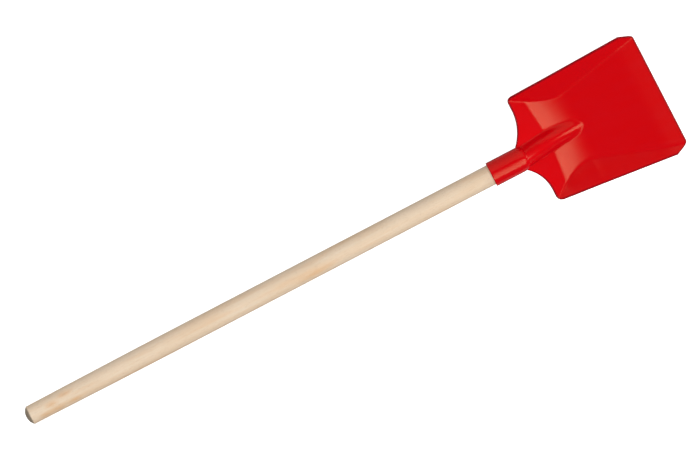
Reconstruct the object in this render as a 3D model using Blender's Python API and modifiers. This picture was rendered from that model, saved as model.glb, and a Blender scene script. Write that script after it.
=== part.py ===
"""A light garden spade: a moulded blade with its socket in one piece, a turned wooden handle
and the screw that holds the handle in the socket.

The spade lies face up on the ground, as it is put down after use: the end of the handle and
the belly of the blade touch the plane z = 0. Its length runs along X, blade towards +X.

Everything is modelled in the socket's own frame first. There the handle's axis is the X axis
and the mouth of the socket is at x = 0. One empty then turns and lifts that frame onto the
ground, and shifts it so that the origin is at the middle of the spade's footprint.
"""

import math

import bmesh
import bpy
from mathutils import Matrix, Vector

MM = 0.001
GAP = 0.3 * MM  # clearance kept between neighbouring pieces

# Handle: a round stick that narrows a little towards its domed end.
HANDLE_RADIUS = 12.0 * MM
HANDLE_END_RADIUS = 11.05 * MM
HANDLE_VISIBLE = 588.0 * MM  # mouth of the socket to the tip of the dome
TAPER_LENGTH = 200.0 * MM
DOME_RISE = 4.8 * MM
HANDLE_INSERTION = 41.0 * MM
HANDLE_LEAD_IN = 1.5 * MM  # chamfer on the end inside the socket

# Socket: the tube that the handle is pushed into.
SOCKET_RADIUS = 14.5 * MM
BORE_RADIUS = HANDLE_RADIUS + GAP
SOCKET_LENGTH = 45.5 * MM
SOCKET_END_ROUND = 3.4 * MM  # rounding of the front end, across the tube
SOCKET_END_STRETCH = 2.35  # and how much longer that rounding is along it
SOCKET_END_BOW = 14.0  # the end is bowed: it falls back by this times the square of y, in metres
BORE_LENGTH = HANDLE_INSERTION + GAP
KEEL_START = 36.0 * MM
KEEL_END = 68.0 * MM  # where the underside of the tube has run into the blade
NOSE_END = 66.0 * MM  # the bore goes on as a narrowing hollow under the ridge
NOSE_RADIUS = 2.5 * MM
NOSE_DROP = 9.0 * MM

# Blade outline, seen square to the handle's axis. Widths are those of the upper surface.
BLADE_TIP = 211.8 * MM
REAR_EDGE = 54.2 * MM
REAR_CURVE_RADIUS = 51.0 * MM  # hollow curve from the tube out to the rear edge
REAR_CURVE_OUTER = 52.0 * MM  # where that curve meets the rear edge
REAR_CURVE_INNER = 11.0 * MM  # where it has gone into the wall of the tube
SHOULDER_HALF_WIDTH = 65.9 * MM
SHOULDER_ROUND = 5.0 * MM
BLADE_HALF_WIDTH = 76.2 * MM
CORNER_CUT_START = 196.0 * MM
CORNER_CUT_HALF_WIDTH = 69.0 * MM
CORNER_ROUND = 4.6 * MM
SHEET = 2.3 * MM  # wall thickness of the moulding
RIM_ROUND = 0.8 * MM  # rounding of the rim's edges

# Blade surface, as heights above the handle's axis.
CREASE = 74.7 * MM  # the rear slope ends in a crease
CREASE_LEAN = 0.108  # which runs back by this times the distance from the ridge
CREASE_HEIGHT = -14.8 * MM
COLLAR_SLOPE = 0.42
COLLAR_FALL = 0.04  # the rear slope also falls away from the ridge towards both sides
FALL_END = 110.0 * MM
HOLLOW_ANGLE = math.radians(16.0)  # of the hollow at the crease
HOLLOW_REAR_RADIUS = 57.0 * MM
HOLLOW_FRONT_RADIUS = 103.0 * MM
FLOOR_ANGLE = math.radians(14.8)  # the floor climbs towards the front edge
LIP_START = 190.0 * MM  # and a little less steeply over the front lip
LIP_BLEND = 6.0 * MM
LIP_ANGLE = math.radians(11.5)
RIM_HEIGHT = -9.5 * MM  # side rims at the shoulders
RIM_SLOPE = 0.158
WALL_FILLET = 1.3 * MM

# Fold between the floor and each side wall. It is nearest the middle at FOLD_START.
FOLD_START = 108.0 * MM
FOLD_HALF_WIDTH = 40.6 * MM
FOLD_SLOPE = 0.276
FOLD_REAR_SPREAD = 21.4 * MM  # how much farther out it is at FOLD_REAR_LENGTH behind FOLD_START
FOLD_REAR_LENGTH = 50.0 * MM
FOLD_REAR_POWER = 1.87

# Ridge: the raised nose that carries the socket's load into the floor.
RIDGE_START = 44.0 * MM
RIDGE_START_HEIGHT = 13.0 * MM
RIDGE_HALF_WIDTH = 12.7 * MM
RIDGE_SHOULDER = 70.0 * MM  # its sides are parallel up to here
RIDGE_TIP = 117.4 * MM
RIDGE_TIP_HEIGHT = -12.4 * MM
RIDGE_NOSE = 105.0 * MM  # its crest rounds down to the floor from here
RIDGE_POWERS = (2.2, 1.75)  # of its section, over the shoulder and at the tip
RIDGE_FILLET = 3.0 * MM

# Screw: a pan-head wood screw from below, through the socket into the handle.
SCREW_X = 20.0 * MM
SCREW_HEAD_RADIUS = 3.6 * MM
SCREW_HEAD_HEIGHT = 2.4 * MM
SCREW_CORE_RADIUS = 1.25 * MM
SCREW_THREAD_RADIUS = 1.75 * MM
SCREW_LENGTH = 14.0 * MM  # under the head
SCREW_PITCH = 1.4 * MM
SCREW_POINT = 3.0 * MM
SCREW_RECESS = (3.6 * MM, 0.9 * MM, 1.3 * MM)  # each slot of the cross: length, width, depth
SCREW_BOSS_RADIUS = 5.0 * MM
SCREW_BOSS_FACE = -15.2 * MM

TUBE_SIDES = 48
SCREW_SIDES = 20
GRID_ALONG = 44  # cells of the blade's sheet from the rear edge to the front
GRID_ACROSS = 46

HOLLOW_LOWEST_X = CREASE + HOLLOW_REAR_RADIUS * math.sin(HOLLOW_ANGLE)
HOLLOW_LOWEST = CREASE_HEIGHT - HOLLOW_REAR_RADIUS * (1 - math.cos(HOLLOW_ANGLE))
HOLLOW_END = HOLLOW_LOWEST_X + HOLLOW_FRONT_RADIUS * math.sin(FLOOR_ANGLE)
FLOOR_START_HEIGHT = HOLLOW_LOWEST + HOLLOW_FRONT_RADIUS * (1 - math.cos(FLOOR_ANGLE))

ABOUT_X = Matrix.Rotation(math.pi / 2, 4, "Y")  # turns +Z into +X

COLOURS = {
    "moulded_red": ((0.70, 0.002, 0.006), 0.2, 0.0),
    "beech": ((0.78, 0.60, 0.42), 0.55, 0.0),
    "zinc_plated": ((0.62, 0.63, 0.64), 0.35, 1.0),
}


# ---- helpers ----


def new_collection(name):
    collection = bpy.data.collections.new(name)
    bpy.context.scene.collection.children.link(collection)
    return collection


def material(name):
    colour, roughness, metallic = COLOURS[name]
    made = bpy.data.materials.new(name)
    made.use_nodes = True
    shader = made.node_tree.nodes["Principled BSDF"]
    shader.inputs["Base Color"].default_value = (*colour, 1.0)
    shader.inputs["Roughness"].default_value = roughness
    shader.inputs["Metallic"].default_value = metallic
    return made


def object_from(bm, name, collection):
    """Makes an object of a bmesh and frees the bmesh."""
    mesh = bpy.data.meshes.new(name)
    bm.to_mesh(mesh)
    bm.free()
    made = bpy.data.objects.new(name, mesh)
    collection.objects.link(made)
    return made


def hide_cutter(cutter):
    cutter.hide_render = True
    cutter.display_type = "WIRE"


def add_boolean(target, other, operation):
    modifier = target.modifiers.new(f"{operation} {other.name}".lower(), "BOOLEAN")
    modifier.operation = operation
    modifier.object = other
    modifier.solver = "EXACT"


def cylinder(bm, radius, start, end, sides=TUBE_SIDES):
    """A closed cylinder on the X axis, from x = start to x = end."""
    place = Matrix.Translation(((start + end) / 2, 0, 0)) @ ABOUT_X
    return bmesh.ops.create_cone(
        bm, cap_ends=True, segments=sides, radius1=radius, radius2=radius, depth=end - start, matrix=place
    )["verts"]


def turned(profile, name, collection, sides):
    """A solid turned about Z from a profile of (radius, z), listed from its top down to its foot."""
    bm = bmesh.new()
    points = [bm.verts.new((radius, 0, z)) for radius, z in profile]
    for above, below in zip(points, points[1:]):
        bm.edges.new((above, below))
    made = object_from(bm, name, collection)
    screw = made.modifiers.new("turning", "SCREW")
    screw.axis = "Z"
    screw.steps = screw.render_steps = sides
    screw.use_merge_vertices = True
    screw.merge_threshold = 0.00001
    return made


def smooth_max(a, b, blend):
    """The larger of two heights, with the corner between them rounded over a height of blend."""
    overlap = max(blend - abs(a - b), 0.0)
    return max(a, b) + overlap * overlap / (4 * blend)


# ---- blade outline and surface ----


def half_width(x):
    """Half the blade's width at its straight side."""
    share = (x - REAR_EDGE) / (CORNER_CUT_START - REAR_EDGE)
    return SHOULDER_HALF_WIDTH + share * (BLADE_HALF_WIDTH - SHOULDER_HALF_WIDTH)


def rear_edge(y):
    """x of the outline behind the blade, for a distance y from the middle."""
    y = abs(y)
    to_side = SHOULDER_HALF_WIDTH - y
    if to_side < SHOULDER_ROUND:
        d = SHOULDER_ROUND - to_side
        return REAR_EDGE + SHOULDER_ROUND - math.sqrt(max(SHOULDER_ROUND**2 - d**2, 0.0))
    if y > REAR_CURVE_OUTER:
        return REAR_EDGE
    d = REAR_CURVE_OUTER - max(y, REAR_CURVE_INNER)
    return REAR_EDGE - REAR_CURVE_RADIUS + math.sqrt(REAR_CURVE_RADIUS**2 - d**2)


def front_edge(y):
    """x of the front edge, which is cut back at the corners."""
    cut_slope = (BLADE_TIP - CORNER_CUT_START) / (BLADE_HALF_WIDTH - CORNER_CUT_HALF_WIDTH)
    cut = BLADE_TIP - (abs(y) - CORNER_CUT_HALF_WIDTH) * cut_slope
    return -smooth_max(-BLADE_TIP, -cut, CORNER_ROUND)


def hollow_height(x):
    """Height of the floor, and of the hollow arcs that lead into it from the crease."""
    if x > HOLLOW_END:
        lip = smooth_max(x - LIP_START, 0.0, LIP_BLEND)
        drop = lip * (math.tan(FLOOR_ANGLE) - math.tan(LIP_ANGLE))
        return FLOOR_START_HEIGHT + math.tan(FLOOR_ANGLE) * (x - HOLLOW_END) - drop
    radius = HOLLOW_FRONT_RADIUS if x > HOLLOW_LOWEST_X else HOLLOW_REAR_RADIUS
    return HOLLOW_LOWEST + radius - math.sqrt(radius**2 - (x - HOLLOW_LOWEST_X) ** 2)


def inner_height(x, y):
    """Height of the rear slope, the hollow and the floor, as they run on under the side walls."""
    outer = max(abs(y) - RIDGE_HALF_WIDTH, 0.0)
    fade = 1 - min(max((x - CREASE) / (FALL_END - CREASE), 0.0), 1.0)
    x += CREASE_LEAN * outer * fade
    collar = CREASE_HEIGHT - COLLAR_SLOPE * (x - CREASE)
    inner = max(hollow_height(x), collar) if x > CREASE else collar
    return inner - COLLAR_FALL * outer * fade


def fold_half_width(x):
    """Half the distance between the two folds."""
    if x > FOLD_START:
        return FOLD_HALF_WIDTH + FOLD_SLOPE * (x - FOLD_START)
    share = (FOLD_START - x) / FOLD_REAR_LENGTH
    return FOLD_HALF_WIDTH + FOLD_REAR_SPREAD * share**FOLD_REAR_POWER


def dish_height(x, y):
    """Height of the blade's surface without the ridge."""
    rim = RIM_HEIGHT + RIM_SLOPE * (x - REAR_EDGE)
    fold = fold_half_width(x)
    depth = max(rim - inner_height(x, fold), 0.0)
    slope = depth / max(half_width(x) - fold, 2 * MM)
    wall = rim - slope * (half_width(x) - abs(y))
    return smooth_max(inner_height(x, y), wall, WALL_FILLET)


def crest_height(x):
    """Height of the ridge's crest, which falls ever more gently towards its tip."""
    left = (RIDGE_TIP - max(x, RIDGE_START)) / (RIDGE_TIP - RIDGE_START)
    return RIDGE_TIP_HEIGHT + (RIDGE_START_HEIGHT - RIDGE_TIP_HEIGHT) * left**2


def surface_height(x, y):
    dish = dish_height(x, y)
    if x >= RIDGE_TIP:
        return dish
    past_shoulder = max(x - RIDGE_SHOULDER, 0.0) / (RIDGE_TIP - RIDGE_SHOULDER)
    width = max(RIDGE_HALF_WIDTH * math.sqrt(1 - past_shoulder**2), 0.5 * MM)
    across = abs(y) / width
    if crest_height(x) <= dish or across > 1.6:
        return dish
    nose = max(x - RIDGE_NOSE, 0.0) / (RIDGE_TIP - RIDGE_NOSE)
    rise = (crest_height(x) - dish) * math.sqrt(1 - nose**2)
    shoulder_power, tip_power = RIDGE_POWERS
    power = shoulder_power + (tip_power - shoulder_power) * min(past_shoulder * 2, 1.0)
    ridge = dish + rise * (1 - across**power)
    return smooth_max(dish, ridge, min(RIDGE_FILLET, rise))


def lowest_point():
    """x and height of the surface's lowest point, where the belly below it meets the ground."""
    points = []
    for step in range(400):
        x = CREASE + (FOLD_START - CREASE) * step / 400
        points += [(surface_height(x, y * MM), x) for y in range(60)]
    height, x = min(points)
    return x, height


# ---- pieces ----


def grid_position(i, j):
    """Where a corner (i, j) of the sheet's square grid goes: i runs forward, j runs across."""
    across = 2 * j / GRID_ACROSS - 1
    # Rows are closest together near the sides, where the outline turns.
    share = math.sin(across * math.pi / 2) * 0.35 + across * 0.65
    forward = i / GRID_ALONG
    # Columns are closer together over the rear half, where the shape changes most.
    forward = 0.75 * forward + 0.25 * forward**2.2
    start = rear_edge(share * SHOULDER_HALF_WIDTH)
    end = BLADE_TIP
    for repeat in range(6):
        end = front_edge(share * half_width(end))
    x = start + forward * (end - start)
    y = share * half_width(x)
    return x, y


def make_sheet(collection):
    """The blade's plate: a grid laid on the outline and raised to the surface, then thickened."""
    bm = bmesh.new()
    bmesh.ops.create_grid(bm, x_segments=GRID_ALONG, y_segments=GRID_ACROSS, size=1.0)
    for vertex in bm.verts:
        i = round((vertex.co.x + 1) / 2 * GRID_ALONG)
        j = round((vertex.co.y + 1) / 2 * GRID_ACROSS)
        x, y = grid_position(i, j)
        vertex.co = Vector((x, y, surface_height(x, y)))
    sheet = object_from(bm, "blade", collection)
    thickness = sheet.modifiers.new("wall", "SOLIDIFY")
    thickness.thickness = SHEET
    thickness.offset = -1.0
    thickness.use_even_offset = True
    rounding = sheet.modifiers.new("rim", "BEVEL")
    rounding.width = RIM_ROUND
    rounding.segments = 2
    rounding.limit_method = "ANGLE"
    rounding.angle_limit = math.radians(60)
    return sheet


def make_socket_body(cutters):
    """The outside of the tube, with a rounded and slightly bowed front end."""
    bm = bmesh.new()
    cylinder(bm, SOCKET_RADIUS, 0.0, SOCKET_LENGTH)
    end_edges = [edge for edge in bm.edges if all(v.co.x > SOCKET_LENGTH / 2 for v in edge.verts)]
    bmesh.ops.bevel(bm, geom=end_edges, offset=SOCKET_END_ROUND, segments=4, profile=0.5, affect="EDGES")
    for vertex in bm.verts:
        if vertex.co.x > SOCKET_LENGTH / 2:
            vertex.co.x = SOCKET_LENGTH - (SOCKET_LENGTH - vertex.co.x) * SOCKET_END_STRETCH
            vertex.co.x -= SOCKET_END_BOW * vertex.co.y**2
    body = object_from(bm, "socket_body", cutters)
    hide_cutter(body)
    return body


def make_keel(cutters):
    """The lower part of the tube goes on under the rear slope until it has run into it."""
    bm = bmesh.new()
    cylinder(bm, SOCKET_RADIUS, KEEL_START, KEEL_END)
    keel = object_from(bm, "keel", cutters)
    hide_cutter(keel)

    bm = bmesh.new()
    bmesh.ops.create_cube(bm, size=2.0)
    margin = 5 * MM
    for vertex in bm.verts:
        x = KEEL_END + margin if vertex.co.x > 0 else KEEL_START - margin
        slope_height = CREASE_HEIGHT - COLLAR_SLOPE * (x - CREASE) - SHEET / 2
        z = 2 * SOCKET_RADIUS if vertex.co.z > 0 else slope_height
        vertex.co = Vector((x, vertex.co.y * 2 * SOCKET_RADIUS, z))
    above = object_from(bm, "above_keel_cutter", cutters)
    hide_cutter(above)
    add_boolean(keel, above, "DIFFERENCE")
    return keel


def make_screw_boss(cutters):
    """A low round pad under the socket, flat for the screw's head."""
    bm = bmesh.new()
    top = -BORE_RADIUS - SHEET / 2
    place = Matrix.Translation((SCREW_X, 0, (top + SCREW_BOSS_FACE) / 2))
    bmesh.ops.create_cone(
        bm, cap_ends=True, segments=TUBE_SIDES, radius1=SCREW_BOSS_RADIUS, radius2=SCREW_BOSS_RADIUS,
        depth=top - SCREW_BOSS_FACE, matrix=place,
    )
    boss = object_from(bm, "screw_boss", cutters)
    hide_cutter(boss)
    return boss


def make_bore(cutters):
    """The hollow inside the socket: a bore for the handle that ends in a narrowing, dropping nose."""
    bm = bmesh.new()
    cylinder(bm, BORE_RADIUS, -5 * MM, BORE_LENGTH)
    bore = object_from(bm, "bore_cutter", cutters)
    hide_cutter(bore)

    bm = bmesh.new()
    start = BORE_LENGTH - 1 * MM
    length = NOSE_END - start
    place = Matrix.Translation((start + length / 2, 0, 0)) @ ABOUT_X
    bmesh.ops.create_cone(
        bm, cap_ends=True, segments=TUBE_SIDES, radius1=BORE_RADIUS - 1.5 * MM, radius2=NOSE_RADIUS,
        depth=length, matrix=place,
    )
    for vertex in bm.verts:
        vertex.co.z -= NOSE_DROP * (vertex.co.x - start) / length
    nose = object_from(bm, "nose_cutter", cutters)
    hide_cutter(nose)
    return bore, nose


def make_screw_hole(cutters):
    """The clearance hole for the screw, from outside the boss to the screw's depth in the handle."""
    bm = bmesh.new()
    radius = SCREW_THREAD_RADIUS + GAP
    bottom = SCREW_BOSS_FACE - 2 * MM
    top = SCREW_BOSS_FACE + SCREW_LENGTH + GAP
    place = Matrix.Translation((SCREW_X, 0, (bottom + top) / 2))
    bmesh.ops.create_cone(
        bm, cap_ends=True, segments=SCREW_SIDES, radius1=radius, radius2=radius, depth=top - bottom,
        matrix=place,
    )
    hole = object_from(bm, "screw_hole_cutter", cutters)
    hide_cutter(hole)
    return hole


def make_blade(parts, cutters, screw_hole):
    blade = make_sheet(parts)
    add_boolean(blade, make_socket_body(cutters), "UNION")
    add_boolean(blade, make_keel(cutters), "UNION")
    add_boolean(blade, make_screw_boss(cutters), "UNION")
    bore, nose = make_bore(cutters)
    add_boolean(blade, bore, "DIFFERENCE")
    add_boolean(blade, nose, "DIFFERENCE")
    add_boolean(blade, screw_hole, "DIFFERENCE")
    blade.data.materials.append(material("moulded_red"))
    return blade


def handle_radius(distance):
    """Radius of the stick at a distance from its domed end: it thickens smoothly to full size."""
    share = min(distance / TAPER_LENGTH, 1.0)
    eased = math.sin(share * math.pi / 2)
    return HANDLE_END_RADIUS + (HANDLE_RADIUS - HANDLE_END_RADIUS) * eased


def handle_profile():
    """(radius, z) of the stick standing on its domed end, from the end in the socket down."""
    top = HANDLE_VISIBLE + HANDLE_INSERTION
    profile = [(0.0, top), (HANDLE_RADIUS - HANDLE_LEAD_IN, top), (HANDLE_RADIUS, top - HANDLE_LEAD_IN)]
    steps = 6
    for step in range(steps, -1, -1):
        distance = TAPER_LENGTH * step / steps
        profile.append((handle_radius(distance), DOME_RISE + distance))
    dome_radius = (HANDLE_END_RADIUS**2 + DOME_RISE**2) / (2 * DOME_RISE)
    half_angle = math.asin(HANDLE_END_RADIUS / dome_radius)
    arc_steps = 5
    for step in range(arc_steps - 1, -1, -1):
        angle = half_angle * step / arc_steps
        profile.append((dome_radius * math.sin(angle), dome_radius * (1 - math.cos(angle))))
    return profile


def make_handle(parts, screw_hole):
    handle = turned(handle_profile(), "handle", parts, TUBE_SIDES)
    handle.data.transform(Matrix.Translation((-HANDLE_VISIBLE, 0, 0)) @ ABOUT_X)
    handle.modifiers["turning"].axis = "X"
    add_boolean(handle, screw_hole, "DIFFERENCE")
    handle.data.materials.append(material("beech"))
    return handle


def screw_profile():
    """(radius, z) of the screw, head up, its head's underside at z = 0."""
    profile = [(0.0, SCREW_HEAD_HEIGHT)]
    dome_steps = 4
    for step in range(1, dome_steps + 1):
        angle = math.pi / 2 * step / dome_steps
        radius = SCREW_HEAD_RADIUS * (0.55 + 0.45 * math.sin(angle))
        height = SCREW_HEAD_HEIGHT * (0.35 + 0.65 * math.cos(angle))
        profile.append((radius, height))
    profile += [(SCREW_HEAD_RADIUS, 0.0), (SCREW_CORE_RADIUS, 0.0)]
    z = -1 * MM
    while z > SCREW_POINT - SCREW_LENGTH:
        profile += [(SCREW_CORE_RADIUS, z), (SCREW_THREAD_RADIUS, z - SCREW_PITCH / 2)]
        z -= SCREW_PITCH
    profile += [(SCREW_CORE_RADIUS, z), (0.0, -SCREW_LENGTH)]
    return profile


def make_screw(parts, cutters):
    """The screw, head down under the socket. Its thread is drawn as closed rings."""
    screw = turned(screw_profile(), "fixing_screw", parts, SCREW_SIDES)
    length, width, depth = SCREW_RECESS
    for number, quarter in enumerate((0, math.pi / 2)):
        bm = bmesh.new()
        bmesh.ops.create_cube(bm, size=1.0)
        bmesh.ops.scale(bm, vec=(length, width, 2 * depth), verts=bm.verts)
        bmesh.ops.rotate(bm, cent=(0, 0, 0), matrix=Matrix.Rotation(quarter, 3, "Z"), verts=bm.verts)
        bmesh.ops.translate(bm, vec=(0, 0, SCREW_HEAD_HEIGHT), verts=bm.verts)
        slot = object_from(bm, f"recess_cutter_{number + 1}", cutters)
        hide_cutter(slot)
        slot.parent = screw
        add_boolean(screw, slot, "DIFFERENCE")
    screw.location = (SCREW_X, 0, SCREW_BOSS_FACE - GAP)
    screw.rotation_euler = (math.pi, 0, 0)
    screw.data.materials.append(material("zinc_plated"))
    return screw


def shade(obj):
    """Round faces are drawn smooth, and edges sharper than 35 degrees stay crisp."""
    obj.data.shade_smooth()
    obj.data.set_sharp_from_angle(angle=math.radians(35))


def lay_on_ground(pieces):
    """One empty carries the socket's frame, tilted so that heel and belly both touch z = 0."""
    belly_x, surface = lowest_point()
    belly_height = surface - SHEET
    heel_x = DOME_RISE - HANDLE_VISIBLE
    tilt = math.atan2(-HANDLE_END_RADIUS - belly_height, belly_x - heel_x)
    frame = bpy.data.objects.new("socket_frame", None)
    bpy.context.scene.collection.objects.link(frame)
    for piece in pieces:
        piece.parent = frame
    turn = Matrix.Rotation(-tilt, 4, "Y")
    belly = turn @ Vector((belly_x, 0, belly_height))
    middle = turn @ Vector(((BLADE_TIP - HANDLE_VISIBLE) / 2, 0, 0))
    frame.matrix_world = Matrix.Translation((-middle.x, 0, -belly.z)) @ turn


def main():
    for obj in list(bpy.data.objects):
        bpy.data.objects.remove(obj)
    parts = new_collection("garden_spade")
    cutters = new_collection("cutters")
    screw_hole = make_screw_hole(cutters)
    blade = make_blade(parts, cutters, screw_hole)
    handle = make_handle(parts, screw_hole)
    screw = make_screw(parts, cutters)
    for piece in (blade, handle, screw):
        shade(piece)
    movable = [blade, handle, screw]
    movable += [cutter for cutter in cutters.objects if cutter.parent is None]
    lay_on_ground(movable)


main()
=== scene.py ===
import math

import bmesh
import bpy
from mathutils import Matrix, Vector


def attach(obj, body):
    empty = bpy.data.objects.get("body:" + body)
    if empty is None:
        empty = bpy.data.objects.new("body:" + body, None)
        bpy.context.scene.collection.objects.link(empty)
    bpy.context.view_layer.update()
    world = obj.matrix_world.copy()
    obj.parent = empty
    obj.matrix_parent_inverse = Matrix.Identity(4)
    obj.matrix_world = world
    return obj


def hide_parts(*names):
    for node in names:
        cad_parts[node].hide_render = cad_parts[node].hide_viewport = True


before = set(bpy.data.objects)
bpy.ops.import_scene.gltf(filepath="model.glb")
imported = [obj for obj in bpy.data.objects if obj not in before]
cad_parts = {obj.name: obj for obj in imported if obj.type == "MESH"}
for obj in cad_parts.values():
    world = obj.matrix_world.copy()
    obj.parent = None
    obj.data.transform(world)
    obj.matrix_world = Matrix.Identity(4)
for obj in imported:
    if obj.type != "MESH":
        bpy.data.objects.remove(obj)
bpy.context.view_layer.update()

bladeSize = {  # the moulding, in mm in the socket's own frame: mouth at x = 0, stick along -x
    "tip": 211.65,
    "rearEdge": 54.2,
    "rearCurve": 51.0,  # radius of the hollow curve from the tube to the rear edge
    "rearCurveOuter": 52.0,
    "rearCurveInner": 10.0,
    "shoulderHalf": 65.9,
    "shoulderRound": 5.0,
    "frontHalf": 75.9,
    "cutStart": 196.0,
    "cutHalf": 69.0,
    "cornerBlend": 4.6,
    "sheet": 2.3,
    "rimRound": 1.12,
    "rimShadeBand": (0.7, 2.0),  # inwards from the outline, where the painted rim shade starts to fade and ends
    "minimumWall": 2.0,  # least width of a side wall in the slope's sum
    "crease": 74.7,
    "creaseLean": 0.108,  # the crease runs back by this times y
    "creaseHeight": -14.8,
    "collarSlope": 0.42,
    "collarFall": 0.04,
    "fallEnd": 110.0,
    "hollowAngle": 16.0,
    "hollowRear": 57.0,  # radius behind the lowest line of the hollow
    "hollowFront": 103.0,
    "floorAngle": 14.8,
    "lipStart": 190.0,
    "lipBlend": 6.0,
    "lipAngle": 11.5,
    "rimHeight": -9.75,
    "rimSlope": 0.158,
    "foldStart": 108.0,  # the side fold is nearest the middle here
    "foldHalf": 40.6,
    "foldSlope": 0.276,
    "foldRear": 21.4,  # how far the fold swings out over foldReach behind foldStart
    "foldReach": 50.0,
    "foldPower": 1.87,
    "wallFillet": 1.3,
    "ridgeStart": 13.0,
    "ridgeBegin": 44.0,
    "ridgeHalf": 12.7,
    "ridgeShoulder": 70.0,
    "ridgeTip": 117.4,
    "ridgeTipHeight": -12.4,
    "ridgePower": (2.2, 1.75),  # of its section, over the shoulder and at the tip
    "noseStart": 105.0,
    "ridgeFillet": 3.0,
    "ridgeReach": 1.6,  # past this times its half width the ridge has no effect
    "ridgeLeast": 0.5,  # least half width, at the tip
    "cellsAlong": 170,
    "cellsAcross": 172,
    "rowsCloser": 0.3,  # towards the rear edge; 0 would space the rows evenly
    "columnsCloser": (0.25, 0.3),  # towards the middle, and how much that eases at the sides
}

socketSize = {
    "radius": 14.5,
    "length": 45.5,
    "endRound": (8.0, 3.4),  # along the tube and across it
    "endBow": 0.014,  # the end falls back by this times the square of y
    "bowStart": 12.0,
    "mouthRound": 0.5,
    "rings": 24,  # along the tube, to keep the shading true there
    "ringPower": 1.3,  # above 1 the rings lie closer at the mouth
    "endSteps": 14,
    "mouthShade": 0.6,  # how dark the painted shade on the rim of the mouth is, beside the sheet's own painted rim shade
    "bore": 12.3,
    "boreLength": 41.3,
    "keelStart": 36.0,
    "keelEnd": 68.0,
    "noseEnd": 66.0,
    "noseRadius": 2.5,
    "noseDrop": 9.0,
    "bossRadius": 5.0,
    "bossFace": -15.2,
    "softBox": ((32.0, -1.0, -1.5), (50.0, 17.5, 16.0)),  # where the tube's end runs into the ridge
    "softPasses": 10,
    "sides": 128,
    "noseSides": 64,
}

stickSize = {
    "radius": 12.0,
    "endRadius": 11.05,
    "visible": 588.0,
    "taper": 200.0,
    "dome": 4.8,
    "inserted": 41.0,
    "leadIn": 1.5,
    "taperRings": 24,
    "sides": 128,
}

screwSize = {
    "x": 20.0,
    "headRadius": 3.6,
    "headHeight": 2.4,
    "headPower": 0.6,  # below 1 the pan head has fuller sides
    "headSteps": 10,
    "plain": 1.0,  # bare shank under the head; the thread then grows over 1 mm
    "flank": 0.3,  # half width of the thread, as a share of the pitch
    "core": 1.25,
    "thread": 1.75,
    "length": 14.0,
    "pitch": 1.4,
    "rows": 120,  # along the thread
    "point": 3.0,
    "clearance": 0.3,
    "headGap": 0.3,  # between the head and the boss
    "slot": (2.0, 0.475, 1.5),  # the cross: reach and half width of each arm, depth
    "sides": 48,
}

lightsAim = Vector((0.12, 0, -0.01))  # metres, in the socket's frame

cameraSetup = {
    "roll": 15.0,  # degrees that the view leans to the spade's left
    "turn": 27.56,  # degrees that the stick climbs across the view
    "width": 0.785,
    "along": -0.173,  # middle of the view from the mouth of the socket
    "across": 0.0109,
    "distance": 24.0,
    "sensor": 36.0,
}

floorSetup = {
    "glow": (0.06, 1.0),  # as the spade sees it and as the camera sees it
    "shade": (0.42, 0.86),
    "room": 0.10,
}

softboxes = {  # from: degrees to the spade's right and to the blade's front of the line of sight
    "keyLight": {
        "from": (32, 3),
        "distance": 3.4,
        "size": (3.6, 2.9),
        "radiance": 5.0,
        "colour": (1.0, 0.985, 0.95),
        "roll": -22,
        "fade": [  # brightness along the box; the first two are the ramp's own ends
            (0.0, 0.0), (1.0, 0.45), (0.14, 0.0), (0.24, 0.12), (0.36, 0.46),
            (0.44, 0.8), (0.6, 0.77), (0.72, 0.95), (0.84, 1.0), (0.92, 0.6),
        ],
    },
    "sideLight": {"from": (-48, 11), "distance": 2.0, "size": (1.9, 2.3), "radiance": 0.62},
    "rearLight": {"from": (-20, -42), "distance": 1.8, "size": (0.9, 0.9), "radiance": 2.8},
    "frontLight": {"from": (20, 78), "distance": 1.8, "size": (0.5, 1.4), "radiance": 5.4},
}


# the socket's frame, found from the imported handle

def findSocketFrame():
    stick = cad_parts["handle"]
    endBand = 0.0006  # metres, from the farthest point back
    points = [stick.matrix_world @ vertex.co for vertex in stick.data.vertices]
    farthest = max(point.x for point in points)
    heights = [point.z for point in points if point.x > farthest - endBand]
    apex = min(points, key=lambda point: point.x)
    tilt = math.atan2((max(heights) + min(heights)) / 2 - apex.z, farthest - apex.x)
    along = Vector((math.cos(tilt), 0, math.sin(tilt)))
    mouth = Vector((apex.x, 0, apex.z)) + along * stickSize["visible"] / 1000
    return Matrix.Translation(mouth) @ Matrix.Rotation(-tilt, 4, "Y")


socketFrame = findSocketFrame()
millimetres = Matrix.Scale(0.001, 4)
print("socket frame", [[round(c, 5) for c in row] for row in socketFrame])


def smoothMax(a, b, blend):
    overlap = max(blend - abs(a - b), 0.0)
    return max(a, b) + overlap * overlap / (4 * blend)


def meshObject(bm, name):
    mesh = bpy.data.meshes.new(name)
    bm.to_mesh(mesh)
    bm.free()
    made = bpy.data.objects.new(name, mesh)
    bpy.context.scene.collection.objects.link(made)
    return made


def addCut(target, other, operation):
    cut = target.modifiers.new(operation.lower(), "BOOLEAN")
    cut.operation = operation
    cut.object = other
    cut.solver = "MANIFOLD"


def softenJoint(mesh, low, high, hollow, passes):
    # eases the creases between the joined shapes inside a box, leaving the bore alone
    bm = bmesh.new()
    bm.from_mesh(mesh)
    bm.verts.ensure_lookup_table()
    inside = []
    for vertex in bm.verts:
        x, y, z = vertex.co
        if low[0] < x < high[0] and low[1] < abs(y) < high[1] and low[2] < z < high[2]:
            if math.hypot(y, z) > hollow:
                inside.append(vertex)
    for _ in range(passes):
        bmesh.ops.smooth_vert(
            bm, verts=inside, factor=0.5, use_axis_x=True, use_axis_y=True, use_axis_z=True
        )
    bm.to_mesh(mesh)
    bm.free()


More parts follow.
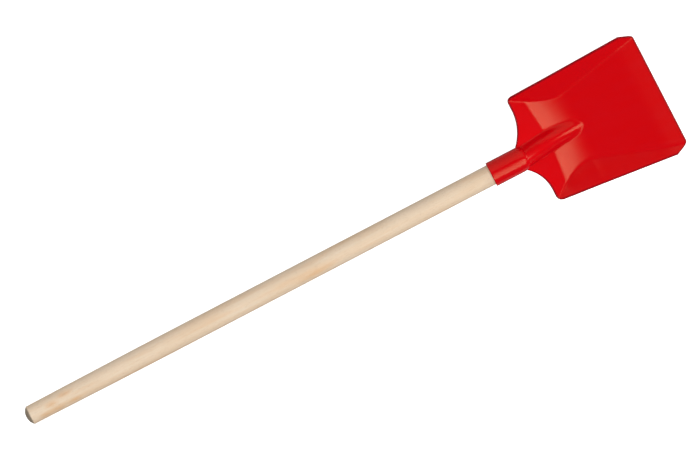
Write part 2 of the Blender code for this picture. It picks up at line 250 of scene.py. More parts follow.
def markRimShade(mesh):
    # painted shade on the rim: 1 along the sheet's free edge, falling to 0 inside it
    full, gone = bladeSize["rimShadeBand"]
    rim = mesh.attributes.new("rim", "FLOAT", "POINT")
    for vertex in mesh.vertices:
        x, y = vertex.co.x, abs(vertex.co.y)
        if y > socketSize["radius"] + 0.3 or x > bladeSize["crease"]:
            inside = min(halfWidth(x) - y, frontEdge(y) - x, x - rearEdge(y))
            rim.data[vertex.index].value = min(max((gone - inside) / (gone - full), 0.0), 1.0)
        elif x < full and math.hypot(y, vertex.co.z) > socketSize["bore"] + 0.5:
            rim.data[vertex.index].value = socketSize["mouthShade"]


def finishPiece(draft, helpers, joint=None, sharpAngle=35):
    # applies the modifiers, puts the place into the mesh and drops the helper shapes
    bpy.context.view_layer.update()
    graph = bpy.context.evaluated_depsgraph_get()
    mesh = bpy.data.meshes.new_from_object(draft.evaluated_get(graph))
    name = draft.name
    for old in [draft] + helpers:
        bpy.data.objects.remove(old)
    mesh.name = name
    if joint:
        softenJoint(mesh, *joint)
        markRimShade(mesh)
    mesh.transform(socketFrame @ millimetres)
    mesh.materials.clear()
    mesh.shade_smooth()
    mesh.set_sharp_from_angle(angle=math.radians(sharpAngle))
    piece = bpy.data.objects.new(name, mesh)
    bpy.context.scene.collection.objects.link(piece)
    print(name, "has", len(mesh.polygons), "faces")
    return piece


def spunSolid(profile, name, sides):
    # a closed solid turned about X from (x, radius) points
    bm = bmesh.new()
    points = [bm.verts.new((x, 0, radius)) for x, radius in profile]
    edges = [bm.edges.new(pair) for pair in zip(points, points[1:])]
    bmesh.ops.spin(
        bm, geom=points + edges, cent=(0, 0, 0), axis=(1, 0, 0), angle=2 * math.pi,
        steps=sides, use_merge=True,
    )
    bmesh.ops.remove_doubles(bm, verts=bm.verts, dist=0.0001)
    bmesh.ops.recalc_face_normals(bm, faces=bm.faces)
    return meshObject(bm, name)


def arc(centre, radius, start, end, steps):
    # points (x, r) on an arc; angles in degrees from +x towards +r
    made = []
    for step in range(steps + 1):
        angle = math.radians(start + (end - start) * step / steps)
        made.append((centre[0] + radius * math.cos(angle), centre[1] + radius * math.sin(angle)))
    return made


# blade

def halfWidth(x):
    b = bladeSize
    share = (x - b["rearEdge"]) / (b["cutStart"] - b["rearEdge"])
    return b["shoulderHalf"] + share * (b["frontHalf"] - b["shoulderHalf"])


def rearEdge(y):
    b = bladeSize
    y = abs(y)
    toSide = b["shoulderHalf"] - y
    if toSide < b["shoulderRound"]:
        d = b["shoulderRound"] - toSide
        return b["rearEdge"] + b["shoulderRound"] - math.sqrt(max(b["shoulderRound"] ** 2 - d * d, 0.0))
    if y > b["rearCurveOuter"]:
        return b["rearEdge"]
    d = b["rearCurveOuter"] - max(y, b["rearCurveInner"])
    return b["rearEdge"] - b["rearCurve"] + math.sqrt(b["rearCurve"] ** 2 - d * d)


def frontEdge(y):
    b = bladeSize
    slope = (b["tip"] - b["cutStart"]) / (b["frontHalf"] - b["cutHalf"])
    cut = b["tip"] - (abs(y) - b["cutHalf"]) * slope
    return -smoothMax(-b["tip"], -cut, b["cornerBlend"])


def hollowHeight(x):
    b = bladeSize
    angle = math.radians(b["hollowAngle"])
    climb = math.radians(b["floorAngle"])
    lowestX = b["crease"] + b["hollowRear"] * math.sin(angle)
    lowest = b["creaseHeight"] - b["hollowRear"] * (1 - math.cos(angle))
    end = lowestX + b["hollowFront"] * math.sin(climb)
    if x > end:
        past = smoothMax(x - b["lipStart"], 0.0, b["lipBlend"])
        drop = past * (math.tan(climb) - math.tan(math.radians(b["lipAngle"])))
        return lowest + b["hollowFront"] * (1 - math.cos(climb)) + math.tan(climb) * (x - end) - drop
    radius = b["hollowFront"] if x > lowestX else b["hollowRear"]
    return lowest + radius - math.sqrt(radius**2 - min((x - lowestX) ** 2, 0.5 * radius**2))


def innerHeight(x, y):
    # collar, hollow and floor, without the side walls
    b = bladeSize
    outer = max(abs(y) - b["ridgeHalf"], 0.0)
    fade = 1 - min(max((x - b["crease"]) / (b["fallEnd"] - b["crease"]), 0.0), 1.0)
    x += b["creaseLean"] * outer * fade
    collar = b["creaseHeight"] - b["collarSlope"] * (x - b["crease"])
    inner = max(hollowHeight(x), collar) if x > b["crease"] else collar
    return inner - b["collarFall"] * outer * fade


def foldHalf(x):
    b = bladeSize
    if x > b["foldStart"]:
        return b["foldHalf"] + b["foldSlope"] * (x - b["foldStart"])
    back = (b["foldStart"] - x) / b["foldReach"]
    return b["foldHalf"] + b["foldRear"] * back ** b["foldPower"]


def dishHeight(x, y):
    b = bladeSize
    fold = foldHalf(x)
    rim = b["rimHeight"] + b["rimSlope"] * (x - b["rearEdge"])
    depth = max(rim - innerHeight(x, fold), 0.0)
    wall = rim - depth * (halfWidth(x) - abs(y)) / max(halfWidth(x) - fold, b["minimumWall"])
    return smoothMax(innerHeight(x, y), wall, b["wallFillet"])


def bladeHeight(x, y):
    b = bladeSize
    dish = dishHeight(x, y)
    if x >= b["ridgeTip"]:
        return dish
    left = (b["ridgeTip"] - max(x, b["ridgeBegin"])) / (b["ridgeTip"] - b["ridgeBegin"])
    crest = b["ridgeTipHeight"] + (b["ridgeStart"] - b["ridgeTipHeight"]) * left * left
    past = max(x - b["ridgeShoulder"], 0.0) / (b["ridgeTip"] - b["ridgeShoulder"])
    width = max(b["ridgeHalf"] * math.sqrt(1 - past * past), b["ridgeLeast"])
    across = abs(y) / width
    if crest <= dish or across > b["ridgeReach"]:
        return dish
    nose = max(x - b["noseStart"], 0.0) / (b["ridgeTip"] - b["noseStart"])
    rise = (crest - dish) * math.sqrt(1 - nose * nose)
    blunt, pointed = b["ridgePower"]
    power = blunt + (pointed - blunt) * min(past * 2, 1.0)
    ridge = dish + rise * (1 - across**power)
    return smoothMax(dish, ridge, min(b["ridgeFillet"], rise))


def makeSheet():
    b = bladeSize
    closer, ease = b["columnsCloser"]
    bm = bmesh.new()
    bmesh.ops.create_grid(bm, x_segments=b["cellsAlong"], y_segments=b["cellsAcross"], size=1.0)
    for vertex in bm.verts:
        along = (vertex.co.x + 1) / 2
        along = (1 - b["rowsCloser"]) * along + b["rowsCloser"] * along * along
        across = vertex.co.y
        across = (1 - closer) * across + closer * across**3 * (1 - ease * abs(across))
        across = across / (1 - closer * ease)
        start = rearEdge(across * b["shoulderHalf"])
        end = b["tip"]
        for _ in range(6):
            end = frontEdge(across * halfWidth(end))
        x = start + along * (end - start)
        y = across * halfWidth(x)
        vertex.co = Vector((x, y, bladeHeight(x, y)))
    sheet = meshObject(bm, "spadeHead")
    wall = sheet.modifiers.new("wall", "SOLIDIFY")
    wall.thickness = b["sheet"]
    wall.offset = -1.0
    wall.use_even_offset = True
    rim = sheet.modifiers.new("rim", "BEVEL")
    rim.width = b["rimRound"]
    rim.segments = 4
    rim.limit_method = "ANGLE"
    rim.angle_limit = math.radians(60)
    return sheet


def makeSocketTube():
    s = socketSize
    endLong, endDeep = s["endRound"]
    front = []
    for step in range(s["endSteps"] + 1):
        turn = math.pi / 2 * step / s["endSteps"]
        x = s["length"] - endLong * (1 - math.cos(turn))
        front.append((x, s["radius"] - endDeep * (1 - math.sin(turn))))
    straight = s["length"] - endLong - s["mouthRound"]
    for ring in range(1, s["rings"]):
        left = (1 - ring / s["rings"]) ** s["ringPower"]
        front.append((s["mouthRound"] + straight * left, s["radius"]))
    mouth = arc((s["mouthRound"], s["radius"] - s["mouthRound"]), s["mouthRound"], 90, 180, 4)
    tube = spunSolid([(s["length"], 0.0)] + front + mouth + [(0.0, 0.0)], "socketTube", s["sides"])
    for vertex in tube.data.vertices:
        share = (vertex.co.x - s["bowStart"]) / (s["length"] - endLong - s["bowStart"])
        vertex.co.x -= s["endBow"] * vertex.co.y**2 * min(max(share, 0.0), 1.0)
    return tube


def makeKeel():
    s, b = socketSize, bladeSize
    front, back, radius = s["keelEnd"], s["keelStart"], s["radius"]
    keel = spunSolid([(front, 0.0), (front, radius), (back, radius), (back, 0.0)], "keel", s["sides"])
    bm = bmesh.new()
    bm.from_mesh(keel.data)
    top = b["creaseHeight"] - b["sheet"] / 2 - b["collarFall"] * (radius - b["ridgeHalf"])
    cut = bmesh.ops.bisect_plane(
        bm, geom=bm.verts[:] + bm.edges[:] + bm.faces[:], plane_co=(b["crease"], 0, top),
        plane_no=(b["collarSlope"], 0, 1), clear_outer=True,
    )
    rim = [item for item in cut["geom_cut"] if isinstance(item, bmesh.types.BMEdge)]
    bmesh.ops.contextual_create(bm, geom=rim)
    bmesh.ops.triangulate(bm, faces=bm.faces)
    bmesh.ops.recalc_face_normals(bm, faces=bm.faces)
    bm.to_mesh(keel.data)
    bm.free()
    return keel


def upright(name, x, bottom, top, radius, sides, bevel=0.0):
    bm = bmesh.new()
    place = Matrix.Translation((x, 0, (bottom + top) / 2))
    bmesh.ops.create_cone(
        bm, cap_ends=True, segments=sides, radius1=radius, radius2=radius, depth=top - bottom, matrix=place
    )
    if bevel:
        foot = [edge for edge in bm.edges if all(v.co.z < (bottom + top) / 2 for v in edge.verts)]
        bmesh.ops.bevel(
            bm, geom=foot, offset=bevel, segments=3, profile=0.5, affect="EDGES", material=-1
        )
    return meshObject(bm, name)


def makeBlade():
    s = socketSize
    head = makeSheet()
    tube = makeSocketTube()
    keel = makeKeel()
    boss = upright(
        "boss", screwSize["x"], s["bossFace"], -s["bore"] - 1.0, s["bossRadius"], screwSize["sides"],
        bevel=0.3,
    )
    deep, mouth, radius = s["boreLength"], -5.0, s["bore"]
    bore = spunSolid([(deep, 0.0), (deep, radius), (mouth, radius), (mouth, 0.0)], "bore", s["sides"])
    tip, back = s["noseEnd"], s["boreLength"] - 1
    nose = spunSolid(
        [(tip, 0.0), (tip, s["noseRadius"]), (back, radius - 1.5), (back, 0.0)], "nose", s["noseSides"]
    )
    for vertex in nose.data.vertices:
        vertex.co.z -= s["noseDrop"] * (vertex.co.x - back) / (tip - back)
    hole = upright(
        "hole", screwSize["x"], s["bossFace"] - 2, 0.0, screwSize["thread"] + screwSize["clearance"],
        screwSize["sides"],
    )
    for part in (tube, keel, boss):
        addCut(head, part, "UNION")
    for part in (bore, nose, hole):
        addCut(head, part, "DIFFERENCE")
    joint = (*s["softBox"], s["bore"] + 0.7, s["softPasses"])
    return finishPiece(head, [tube, keel, boss, bore, nose, hole], joint)


# stick

def makeStick():
    s = stickSize
    top = s["inserted"]
    profile = [(top, 0.0), (top, s["radius"] - s["leadIn"]), (top - s["leadIn"], s["radius"])]
    for step in range(s["taperRings"], -1, -1):
        share = step / s["taperRings"]
        radius = s["endRadius"] + (s["radius"] - s["endRadius"]) * math.sin(share * math.pi / 2)
        profile.append((s["dome"] - s["visible"] + share * s["taper"], radius))
    domeRadius = (s["endRadius"] ** 2 + s["dome"] ** 2) / (2 * s["dome"])
    halfAngle = math.degrees(math.asin(s["endRadius"] / domeRadius))
    dome = arc((domeRadius - s["visible"], 0.0), domeRadius, 180 - halfAngle, 180, 14)
    profile += dome[1:-1] + [(-s["visible"], 0.0)]
    stick = spunSolid(profile, "woodenStick", s["sides"])
    bottom, top = -20.0, socketSize["bossFace"] + screwSize["length"] + screwSize["clearance"]
    radius = screwSize["thread"] + screwSize["clearance"]
    hole = upright("pilot", screwSize["x"], bottom, top, radius, screwSize["sides"])
    addCut(stick, hole, "DIFFERENCE")
    return finishPiece(stick, [hole])


# screw

def makeCross():
    reach, half, deep = screwSize["slot"]
    bm = bmesh.new()
    corners = []
    for quarter in range(4):
        turn = Matrix.Rotation(math.pi / 2 * quarter, 3, "X")
        for corner in ((reach, -half), (reach, half), (half, half)):
            corners.append(bm.verts.new(turn @ Vector((deep - screwSize["headHeight"], *corner))))
    floor = bm.faces.new(corners)
    raised = bmesh.ops.extrude_face_region(bm, geom=[floor])
    lifted = [item for item in raised["geom"] if isinstance(item, bmesh.types.BMVert)]
    bmesh.ops.translate(bm, vec=(-2 * deep, 0, 0), verts=lifted)
    bmesh.ops.triangulate(bm, faces=bm.faces)
    bmesh.ops.recalc_face_normals(bm, faces=bm.faces)
    return meshObject(bm, "cross")


def makeScrew():
    s = screwSize
    profile = [(-s["headHeight"], 0.0)]
    for step in range(1, s["headSteps"]):
        turn = math.pi / 2 * step / s["headSteps"]
        radius = s["headRadius"] * math.sin(turn) ** s["headPower"]
        profile.append((-s["headHeight"] * math.cos(turn), radius))
    profile += [(0.0, s["headRadius"]), (0.0, s["core"])]
    for row in range(1, s["rows"] + 1):
        profile.append((s["length"] * row / s["rows"] * 0.995, s["core"]))
    profile.append((s["length"], 0.0))
    screw = spunSolid(profile, "panHeadScrew", s["sides"])
    for vertex in screw.data.vertices:
        depth = vertex.co.x
        around = math.atan2(vertex.co.y, vertex.co.z) / (2 * math.pi)
        if depth < s["plain"] or depth >= s["length"]:
            continue
        phase = (depth / s["pitch"] - around) % 1.0
        rise = max(1 - abs(phase - 0.5) / s["flank"], 0.0) * (s["thread"] - s["core"])
        fade = min(1.0, depth - s["plain"])
        taper = min(1.0, (s["length"] - depth) / s["point"])
        radius = (s["core"] + rise * fade) * taper
        length = math.hypot(vertex.co.y, vertex.co.z)
        if length > 0:
            vertex.co.y *= radius / length
            vertex.co.z *= radius / length
    cross = makeCross()
    addCut(screw, cross, "DIFFERENCE")
    upwards = Matrix.Rotation(-math.pi / 2, 4, "Y")
    place = Matrix.Translation((s["x"], 0, socketSize["bossFace"] - s["headGap"])) @ upwards
    for item in (screw, cross):
        item.data.transform(place)
    return finishPiece(screw, [cross])


blade = makeBlade()
stick = makeStick()
screw = makeScrew()


# materials

def addNode(tree, kind, **values):
    node = tree.nodes.new(kind)
    for key, value in values.items():
        if key in node.inputs:
            node.inputs[key].default_value = value
        else:
            setattr(node, key, value)
    return node


def newMaterial(name, colour, roughness, metallic=0.0):
    made = bpy.data.materials.new(name)
    made.use_nodes = True
    shader = made.node_tree.nodes["Principled BSDF"]
    shader.inputs["Base Color"].default_value = (*colour, 1.0)
    shader.inputs["Roughness"].default_value = roughness
    shader.inputs["Metallic"].default_value = metallic
    return made, made.node_tree, shader


def newGroup(name, wanted, given):
    # an empty shader group; wanted and given are (name, kind, first value) rows
    tree = bpy.data.node_groups.new(name, "ShaderNodeTree")
    for label, kind, value in wanted:
        socket = tree.interface.new_socket(label, in_out="INPUT", socket_type="NodeSocket" + kind)
        if value is not None:
            socket.default_value = value
    for label, kind in given:
        tree.interface.new_socket(label, in_out="OUTPUT", socket_type="NodeSocket" + kind)
    return tree, tree.nodes.new("NodeGroupInput"), tree.nodes.new("NodeGroupOutput")


def useGroup(tree, group, **values):
    node = tree.nodes.new("ShaderNodeGroup")
    node.node_tree = group
    for key, value in values.items():
        node.inputs[key].default_value = value
    return node


def calculate(tree, operation, *terms):
    # a Math node; each term is a number or a socket to link
    node = tree.nodes.new("ShaderNodeMath")
    node.operation = operation
    for place, term in enumerate(terms):
        if isinstance(term, (int, float)):
            node.inputs[place].default_value = term
        else:
            tree.links.new(term, node.inputs[place])
    return node.outputs["Value"]


def remap(tree, source, low, high, start=0.0, end=1.0):
    node = addNode(tree, "ShaderNodeMapRange")
    tree.links.new(source, node.inputs["Value"])
    for label, value in zip(("From Min", "From Max", "To Min", "To Max"), (low, high, start, end)):
        node.inputs[label].default_value = value
    return node.outputs["Result"]


def noise(tree, place, stretch, detail=3.0, roughness=0.5):
    # noise over a place in mm; stretch is the cell size along, across and up
    mapping = tree.nodes.new("ShaderNodeMapping")
    mapping.inputs["Scale"].default_value = [1 / size for size in stretch]
    tree.links.new(place, mapping.inputs["Vector"])
    cloud = addNode(tree, "ShaderNodeTexNoise", Scale=1.0, Detail=detail, Roughness=roughness)
    tree.links.new(mapping.outputs["Vector"], cloud.inputs["Vector"])
    return cloud.outputs["Fac"]


def blend(tree, share, first, second):
    # mixes two colours; each is a colour value or a socket
    node = tree.nodes.new("ShaderNodeMix")
    node.data_type = "RGBA"
    for place, term in ((0, share), (6, first), (7, second)):
        if isinstance(term, bpy.types.NodeSocket):
            tree.links.new(term, node.inputs[place])
        else:
            node.inputs[place].default_value = term if place == 0 else (*term, 1.0)
    return node.outputs[2]


def makePlaceGroup():
    # the place on the spade in mm, in the socket's own frame
    tree, _, result = newGroup("spadePlace", [], [("Place", "Vector")])
    inverse = socketFrame.inverted()
    where = tree.nodes.new("ShaderNodeTexCoord")
    mapping = tree.nodes.new("ShaderNodeMapping")
    mapping.inputs["Scale"].default_value = (1000, 1000, 1000)
    mapping.inputs["Rotation"].default_value = inverse.to_euler()
    mapping.inputs["Location"].default_value = inverse.translation * 1000
    tree.links.new(where.outputs["Object"], mapping.inputs["Vector"])
    tree.links.new(mapping.outputs["Vector"], result.inputs["Place"])
    return tree


def makeScuffGroup():
    # fine scratches in three directions, gathered in patches
    tree, given, result = newGroup(
        "fineScuffs",
        [("Place", "Vector", None), ("Length", "Float", 14.0), ("Width", "Float", 0.35),
         ("Cover", "Float", 0.5)],
        [("Scuffs", "Float")],
    )
    total = None
    for angle in (8, -23, 61):
        turned = tree.nodes.new("ShaderNodeMapping")
        turned.inputs["Rotation"].default_value = (0, 0, math.radians(angle))
        tree.links.new(given.outputs["Place"], turned.inputs["Vector"])
        size = tree.nodes.new("ShaderNodeCombineXYZ")
        tree.links.new(given.outputs["Length"], size.inputs["X"])
        tree.links.new(given.outputs["Width"], size.inputs["Y"])
        tree.links.new(given.outputs["Length"], size.inputs["Z"])
        cells = addNode(tree, "ShaderNodeVectorMath", operation="DIVIDE")
        tree.links.new(turned.outputs["Vector"], cells.inputs[0])
        tree.links.new(size.outputs["Vector"], cells.inputs[1])
        lines = addNode(tree, "ShaderNodeTexNoise", Scale=1.0, Detail=2.0, Roughness=0.6)
        tree.links.new(cells.outputs["Vector"], lines.inputs["Vector"])
        peak = remap(tree, lines.outputs["Fac"], 0.64, 0.74)
        total = peak if total is None else calculate(tree, "MAXIMUM", total, peak)
    patches = noise(tree, given.outputs["Place"], (38, 30, 30), detail=2.0)
    least = calculate(tree, "SUBTRACT", 0.92, given.outputs["Cover"])
    shown = calculate(tree, "SUBTRACT", patches, least)
    cover = remap(tree, shown, 0.0, 0.25)
    tree.links.new(calculate(tree, "MULTIPLY", total, cover), result.inputs["Scuffs"])
    return tree


def makeEdgeGroup():
    # worn convex edges, broken up by noise
    tree, given, result = newGroup(
        "edgeWear", [("Place", "Vector", None), ("Amount", "Float", 0.6)], [("Edge", "Float")]
    )
    shape = tree.nodes.new("ShaderNodeNewGeometry")
    sharp = remap(tree, shape.outputs["Pointiness"], 0.52, 0.62)
    chips = noise(tree, given.outputs["Place"], (6, 6, 6), detail=5.0, roughness=0.65)
    broken = calculate(tree, "MULTIPLY", sharp, remap(tree, chips, 0.38, 0.66))
    worn = calculate(tree, "MULTIPLY", broken, given.outputs["Amount"])
    tree.links.new(worn, result.inputs["Edge"])
    return tree


spadePlace = makePlaceGroup()
fineScuffs = makeScuffGroup()
edgeWear = makeEdgeGroup()


def addBump(tree, shader, height, distance):
    bump = addNode(tree, "ShaderNodeBump", Distance=distance, Strength=1.0)
    tree.links.new(height, bump.inputs["Height"])
    tree.links.new(bump.outputs["Normal"], shader.inputs["Normal"])


def paintedOutlineShade(tree, start, end, most):
    # painted shade: rises towards the outline, where the surface turns away from the viewer
    facing = addNode(tree, "ShaderNodeLayerWeight", Blend=0.5)
    return remap(tree, facing.outputs["Facing"], start, end, 0.0, most)


def addScuffs(tree, place, **values):
    scuffs = useGroup(tree, fineScuffs, **values)
    tree.links.new(place, scuffs.inputs["Place"])
    return scuffs.outputs["Scuffs"]


def addEdges(tree, place, amount):
    edges = useGroup(tree, edgeWear, Amount=amount)
    tree.links.new(place, edges.inputs["Place"])
    return edges.outputs["Edge"]


def splitAxes(tree, place):
    split = tree.nodes.new("ShaderNodeSeparateXYZ")
    tree.links.new(place, split.inputs["Vector"])
    return split.outputs


plasticLook = {
    "colour": (0.725, 0.0, 0.004),
    "faded": (0.71, 0.0, 0.006),
    "worn": (0.74, 0.08, 0.07),
    # painted shade along the sheet's free edge and the socket's mouth, where the rounded rim turns from
    # the light
    "rim": (0.35, 0.0, 0.008),
    "turned": (0.16, 0.0, 0.006),  # painted shade where the surface turns out of sight
    "outlineShadeFrom": (11.0, 13.0),  # mm from the middle plane, so the painted shade falls only on the tube's sides and beyond
    "specularTint": (1.0, 0.95, 0.58, 1.0),
    "specularLevel": 0.275,
    "roughness": (0.165, 0.215),
    "flowCell": (26, 9, 20),  # mm, as all the cells below
    "skinCell": (2.4, 2.4, 2.4),
    "scuffs": {"Length": 16.0, "Width": 0.3, "Cover": 0.42},
    "edgeWear": 0.35,
    "bump": 0.00012,  # metres
}


def makeRedPlastic():
    look = plasticLook
    made, tree, shader = newMaterial("mouldedRed", look["colour"], look["roughness"][0])
    shader.inputs["Specular IOR Level"].default_value = look["specularLevel"]
    shader.inputs["Specular Tint"].default_value = look["specularTint"]
    place = useGroup(tree, spadePlace).outputs["Place"]
    flow = noise(tree, place, look["flowCell"], detail=4.0, roughness=0.55)
    skin = noise(tree, place, look["skinCell"], detail=2.0)
    scuffs = addScuffs(tree, place, **look["scuffs"])
    edge = addEdges(tree, place, look["edgeWear"])

    base = blend(tree, remap(tree, flow, 0.35, 0.75), look["colour"], look["faded"])
    wear = calculate(tree, "MAXIMUM", calculate(tree, "MULTIPLY", scuffs, 0.04), edge)
    base = blend(tree, wear, base, look["worn"])
    # painted rim shade, darkening the free edge and the mouth
    rim = addNode(tree, "ShaderNodeAttribute", attribute_name="rim")
    base = blend(tree, rim.outputs["Fac"], base, look["rim"])
    # painted shade towards the outline, on the tube's sides and beyond
    sideways = calculate(tree, "ABSOLUTE", splitAxes(tree, place)["Y"])
    outer = remap(tree, sideways, *look["outlineShadeFrom"])
    turned = calculate(tree, "MULTIPLY", outer, paintedOutlineShade(tree, 0.55, 0.85, 0.8))
    tree.links.new(blend(tree, turned, base, look["turned"]), shader.inputs["Base Color"])

    rough = remap(tree, flow, 0.3, 0.7, *look["roughness"])
    rough = calculate(tree, "MULTIPLY_ADD", scuffs, 0.10, rough)
    rough = calculate(tree, "MULTIPLY_ADD", edge, 0.2, rough)
    tree.links.new(rough, shader.inputs["Roughness"])
    height = calculate(tree, "MULTIPLY_ADD", skin, 0.12, calculate(tree, "MULTIPLY", flow, 0.25))
    height = calculate(tree, "MULTIPLY_ADD", scuffs, -0.04, height)
    addBump(tree, shader, height, look["bump"])
    return made


beechLook = {
    "pale": (0.93, 0.765, 0.59),
    "mid": (0.90, 0.69, 0.49),
    "streak": (0.84, 0.54, 0.30),
    "knot": (0.84, 0.50, 0.24),
    "pores": (0.66, 0.47, 0.31),
    "endGrainAndShade": (0.30, 0.24, 0.17),
    # painted shade towards the outline, where the stick turns away
    "turned": (0.50, 0.40, 0.32),
    "roughness": (0.48, 0.62),
    "ringCell": (150, 2.6, 4.5),
    "toneCell": (95, 11, 14),
    "fibreCell": (9, 0.32, 0.32),
    "fleckCell": (3.2, 0.55, 0.55),
    "raggedCell": (60, 0.9, 0.9),
    "endCell": (0.7, 0.7, 0.7),
    "scuffs": {"Length": 7.0, "Width": 0.4, "Cover": 0.45},
    "knots": [  # place and reach of each warm patch, in mm
        ((-225, -3, 11.6), (19, 3.4, 5)), ((-566, -5, 10), (6, 2.2, 5)), ((-552, -4.5, 10), (7, 2.2, 5)),
        ((-530, -5, 10), (6, 2.0, 5)), ((-538, 6.5, 10), (7, 2.2, 5)), ((-556, 3, 11), (6, 2.4, 5)),
    ],
    "bump": 0.00016,
}


def nearPatch(tree, place, centre, reach):
    # 1 in the middle of a patch, falling to 0 outside it
    offset = addNode(tree, "ShaderNodeVectorMath", operation="SUBTRACT")
    tree.links.new(place, offset.inputs[0])
    offset.inputs[1].default_value = centre
    shrunk = addNode(tree, "ShaderNodeVectorMath", operation="DIVIDE")
    tree.links.new(offset.outputs["Vector"], shrunk.inputs[0])
    shrunk.inputs[1].default_value = reach
    away = addNode(tree, "ShaderNodeVectorMath", operation="LENGTH")
    tree.links.new(shrunk.outputs["Vector"], away.inputs[0])
    return remap(tree, away.outputs["Value"], 1.8, 0.3, 0.0, 0.95)


def makeBeech():
    look = beechLook
    made, tree, shader = newMaterial("beechWood", look["mid"], look["roughness"][0])
    place = useGroup(tree, spadePlace).outputs["Place"]
    rings = noise(tree, place, look["ringCell"], detail=3.0, roughness=0.55)
    tone = noise(tree, place, look["toneCell"], detail=2.0)
    fibre = noise(tree, place, look["fibreCell"], detail=3.0, roughness=0.6)
    flecks = noise(tree, place, look["fleckCell"], detail=1.0)
    scuffs = addScuffs(tree, place, **look["scuffs"])

    base = blend(tree, remap(tree, rings, 0.3, 0.7), look["mid"], look["pale"])
    base = blend(tree, remap(tree, tone, 0.48, 0.75, 0.0, 0.55), base, look["streak"])
    streaky = remap(tree, fibre, 0.2, 0.65)
    for centre, reach in look["knots"]:
        near = calculate(tree, "MULTIPLY", nearPatch(tree, place, centre, reach), streaky)
        base = blend(tree, near, base, look["knot"])
    pores = remap(tree, flecks, 0.62, 0.72, 0.0, 0.45)
    base = blend(tree, pores, base, look["pores"])
    base = blend(tree, remap(tree, fibre, 0.5, 0.75, 0.0, 0.42), base, look["streak"])

    # the sawn end is darker: end grain plus painted shade on the end face, with a ragged border
    uneven = noise(tree, place, look["raggedCell"])
    ragged = calculate(tree, "MULTIPLY_ADD", uneven, 5.0, splitAxes(tree, place)["X"])
    endFace = stickSize["dome"] - stickSize["visible"] + 2.5
    grain = remap(tree, noise(tree, place, look["endCell"]), 0.3, 0.6, 0.55, 1.0)
    cutEnd = calculate(tree, "MULTIPLY", remap(tree, ragged, endFace + 0.5, endFace - 0.7), grain)
    base = blend(tree, cutEnd, base, look["endGrainAndShade"])
    # painted shade towards the outline
    base = blend(tree, paintedOutlineShade(tree, 0.5, 0.95, 0.3), base, look["turned"])
    tree.links.new(base, shader.inputs["Base Color"])

    rough = remap(tree, fibre, 0.3, 0.7, *look["roughness"])
    rough = calculate(tree, "MULTIPLY_ADD", scuffs, -0.08, rough)
    tree.links.new(rough, shader.inputs["Roughness"])
    height = calculate(tree, "MULTIPLY_ADD", rings, 0.4, fibre)
    height = calculate(tree, "MULTIPLY_ADD", pores, -1.2, height)
    height = calculate(tree, "MULTIPLY_ADD", scuffs, -0.3, height)
    addBump(tree, shader, height, look["bump"])
    return made


zincLook = {
    "colour": (0.62, 0.63, 0.64),
    "cool": (0.55, 0.57, 0.60),
    "warm": (0.70, 0.70, 0.66),
    "bare": (0.82, 0.82, 0.82),
    "roughness": (0.24, 0.4),
    "spangleCell": (1.1, 1.1, 1.1),
    "scuffs": {"Length": 1.6, "Width": 0.07, "Cover": 0.8},
    "edgeWear": 0.5,
    "bump": 0.00003,
}


def makeZinc():
    look = zincLook
    made, tree, shader = newMaterial("zincSteel", look["colour"], look["roughness"][0], 1.0)
    place = useGroup(tree, spadePlace).outputs["Place"]
    spangle = noise(tree, place, look["spangleCell"], detail=4.0, roughness=0.6)
    scuffs = addScuffs(tree, place, **look["scuffs"])
    edge = addEdges(tree, place, look["edgeWear"])
    base = blend(tree, remap(tree, spangle, 0.3, 0.7), look["cool"], look["warm"])
    base = blend(tree, edge, base, look["bare"])
    tree.links.new(base, shader.inputs["Base Color"])
    rough = remap(tree, spangle, 0.3, 0.7, *look["roughness"])
    rough = calculate(tree, "MULTIPLY_ADD", scuffs, 0.15, rough)
    tree.links.new(rough, shader.inputs["Roughness"])
    addBump(tree, shader, calculate(tree, "MULTIPLY_ADD", scuffs, -0.4, spangle), look["bump"])
    return made


blade.data.materials.append(makeRedPlastic())
stick.data.materials.append(makeBeech())
screw.data.materials.append(makeZinc())
print("materials made")


# floor, light and camera

def viewAxes():
    turn = socketFrame.to_3x3()
    roll = math.radians(cameraSetup["roll"])
    along = turn @ Vector((1, 0, 0))
    across = turn @ Vector((0, math.cos(roll), -math.sin(roll)))
    towards = turn @ Vector((0, math.sin(roll), math.cos(roll)))
    return along, across, towards


def makeFloor():
    bm = bmesh.new()
    bmesh.ops.create_grid(bm, x_segments=1, y_segments=1, size=20.0)
    floor = meshObject(bm, "floor")
    pale, tree, shader = newMaterial("paleFloor", (0.86, 0.86, 0.86), 0.9)
    shader.inputs["Emission Color"].default_value = (1, 1, 1, 1)
    path = tree.nodes.new("ShaderNodeLightPath")
    glow = remap(tree, path.outputs["Is Camera Ray"], 0.0, 1.0, *floorSetup["glow"])
    tree.links.new(glow, shader.inputs["Emission Strength"])
    shade = remap(tree, path.outputs["Is Camera Ray"], 0.0, 1.0, *floorSetup["shade"])
    tree.links.new(shade, shader.inputs["Base Color"])
    floor.data.materials.append(pale)


def lightDirection(lean, pitch):
    # lean: degrees from the line of sight to the spade's right; pitch: degrees to the blade's front
    along, across, towards = viewAxes()
    lean = math.radians(lean)
    pitch = math.radians(pitch)
    return (towards * math.cos(lean) - across * math.sin(lean)) * math.cos(pitch) + along * math.sin(pitch)


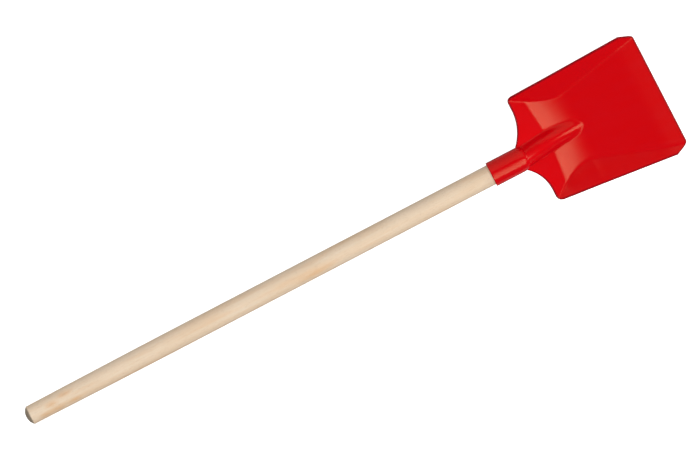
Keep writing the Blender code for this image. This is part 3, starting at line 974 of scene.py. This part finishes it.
def addSoftbox(setup, name):
    across = viewAxes()[1]
    direction = lightDirection(*setup["from"])
    light = bpy.data.lights.new(name, "AREA")
    light.shape = "RECTANGLE"
    light.size, light.size_y = setup["size"]
    light.energy = setup["radiance"] * math.pi * light.size * light.size_y
    light.color = setup.get("colour", (1, 1, 1))
    lamp = bpy.data.objects.new(name, light)
    bpy.context.scene.collection.objects.link(lamp)
    up = (across - direction * across.dot(direction)).normalized()
    up = Matrix.Rotation(math.radians(setup.get("roll", 0)), 3, direction) @ up
    side = up.cross(direction)
    place = Matrix((side, up, direction)).transposed().to_4x4()
    place.translation = socketFrame @ lightsAim + direction * setup["distance"]
    lamp.matrix_world = place
    if "fade" in setup:
        light.use_nodes = True
        tree = light.node_tree
        where = tree.nodes.new("ShaderNodeNewGeometry")
        parts = tree.nodes.new("ShaderNodeSeparateXYZ")
        tree.links.new(where.outputs["Parametric"], parts.inputs["Vector"])
        ramp = tree.nodes.new("ShaderNodeValToRGB")
        stops = ramp.color_ramp.elements
        for number, (position, level) in enumerate(setup["fade"]):
            stop = stops[number] if number < 2 else stops.new(position)
            stop.position = position
            stop.color = (level, level, level, 1)
        tree.links.new(parts.outputs["X"], ramp.inputs["Fac"])
        tree.links.new(ramp.outputs["Color"], tree.nodes["Emission"].inputs["Color"])


def makeCamera():
    c = cameraSetup
    along, across, towards = viewAxes()
    turn = math.radians(c["turn"])
    right = along * math.cos(turn) - across * math.sin(turn)
    up = along * math.sin(turn) + across * math.cos(turn)
    camera = bpy.data.cameras.new("camera")
    camera.sensor_width = c["sensor"]
    camera.lens = c["sensor"] * c["distance"] / c["width"]
    camera.clip_end = 100.0
    holder = bpy.data.objects.new("camera", camera)
    bpy.context.scene.collection.objects.link(holder)
    place = Matrix((right, up, towards)).transposed().to_4x4()
    aim = socketFrame.translation + along * c["along"] + across * c["across"]
    place.translation = aim + towards * c["distance"]
    holder.matrix_world = place
    bpy.context.scene.camera = holder


makeFloor()
makeCamera()
for name, setup in softboxes.items():
    addSoftbox(setup, name)
world = bpy.data.worlds.new("studio")
bpy.context.scene.world = world
world.use_nodes = True
world.node_tree.nodes["Background"].inputs["Color"].default_value = (1, 1, 1, 1)
world.node_tree.nodes["Background"].inputs["Strength"].default_value = floorSetup["room"]
bpy.context.scene.view_settings.view_transform = "Standard"
print("floor, camera and", len(softboxes), "lights placed")

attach(blade, "root")
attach(stick, "root")
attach(screw, "root")
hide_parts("blade")
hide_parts("handle")
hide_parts("fixing_screw")
